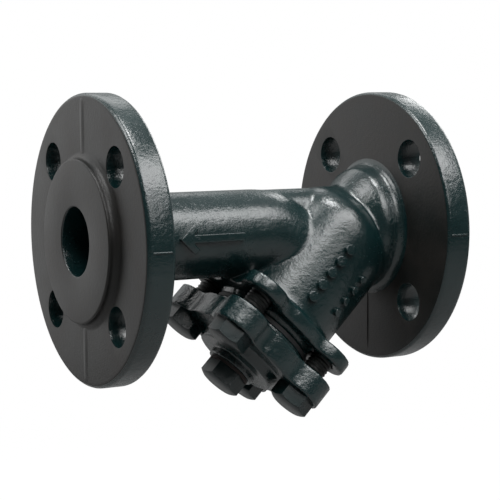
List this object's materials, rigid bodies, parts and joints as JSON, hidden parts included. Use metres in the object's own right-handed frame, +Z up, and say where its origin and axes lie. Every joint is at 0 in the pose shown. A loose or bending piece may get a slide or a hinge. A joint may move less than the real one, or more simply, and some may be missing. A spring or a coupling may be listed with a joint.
{
  "type": "flanged mesh strainer",
  "caption": "Cast Y-pattern pipe strainer with bolted end flanges, a slanted branch holding a perforated screen, a lobed cover and a drain plug.",
  "frame": {"origin": "centre of the inlet bore's mouth, on the inlet flange's sealing face", "axes": "+X along the pipe axis out of the inlet flange, +Z up, the branch leaning down and towards the outlet"},
  "size_m": [0.18, 0.136, 0.1571],
  "materials": {
    "casting": "dark grey-green gloss paint over cast iron",
    "gasket": "matte",
    "screen_steel": "perforated stainless sheet",
    "plug_steel": "dark grey paint",
    "fibre": "pressed fibre",
    "screw_steel": "dark grey paint over steel"
  },
  "bodies": {
    "body": {"body": "casting"},
    "cover": {"cover": "casting"},
    "gasket": {"cover_gasket": "gasket"},
    "screen": {"screen_tube": "screen_steel", "screen_top_ring": "screen_steel", "screen_bottom_ring": "screen_steel"},
    "plug": {"drain_plug": "plug_steel"},
    "washer": {"drain_plug_washer": "fibre"},
    "screw_1": {"cover_screw_1": "screw_steel"},
    "screw_2": {"cover_screw_2": "screw_steel"},
    "screw_3": {"cover_screw_3": "screw_steel"},
    "screw_4": {"cover_screw_4": "screw_steel"}
  },
  "joints": [
    {"name": "cover_slide", "type": "slide", "parent": "body", "child": "cover", "axis": [-0.7071, 0, -0.7071], "range_m": [0, 0.2]},
    {"name": "gasket_slide", "type": "slide", "parent": "body", "child": "gasket", "axis": [-0.7071, 0, -0.7071], "range_m": [0, 0.15]},
    {"name": "screen_slide", "type": "slide", "parent": "body", "child": "screen", "axis": [-0.7071, 0, -0.7071], "range_m": [0, 0.1]},
    {"name": "drain_plug_slide", "type": "slide", "parent": "cover", "child": "plug", "axis": [-0.7071, 0, -0.7071], "range_m": [0, 0.03]},
    {"name": "washer_slide", "type": "slide", "parent": "cover", "child": "washer", "axis": [-0.7071, 0, -0.7071], "range_m": [0, 0.015]},
    {"name": "screw_1_slide", "type": "slide", "parent": "cover", "child": "screw_1", "axis": [-0.7071, 0, -0.7071], "range_m": [0, 0.035]},
    {"name": "screw_2_slide", "type": "slide", "parent": "cover", "child": "screw_2", "axis": [-0.7071, 0, -0.7071], "range_m": [0, 0.035]},
    {"name": "screw_3_slide", "type": "slide", "parent": "cover", "child": "screw_3", "axis": [-0.7071, 0, -0.7071], "range_m": [0, 0.035]},
    {"name": "screw_4_slide", "type": "slide", "parent": "cover", "child": "screw_4", "axis": [-0.7071, 0, -0.7071], "range_m": [0, 0.035]}
  ],
  "couplings": [
    {"joint": "gasket_slide", "follows": "cover_slide", "ratio": 0.75},
    {"joint": "screen_slide", "follows": "cover_slide", "ratio": 0.5},
    {"joint": "washer_slide", "follows": "drain_plug_slide", "ratio": 0.5}
  ]
}
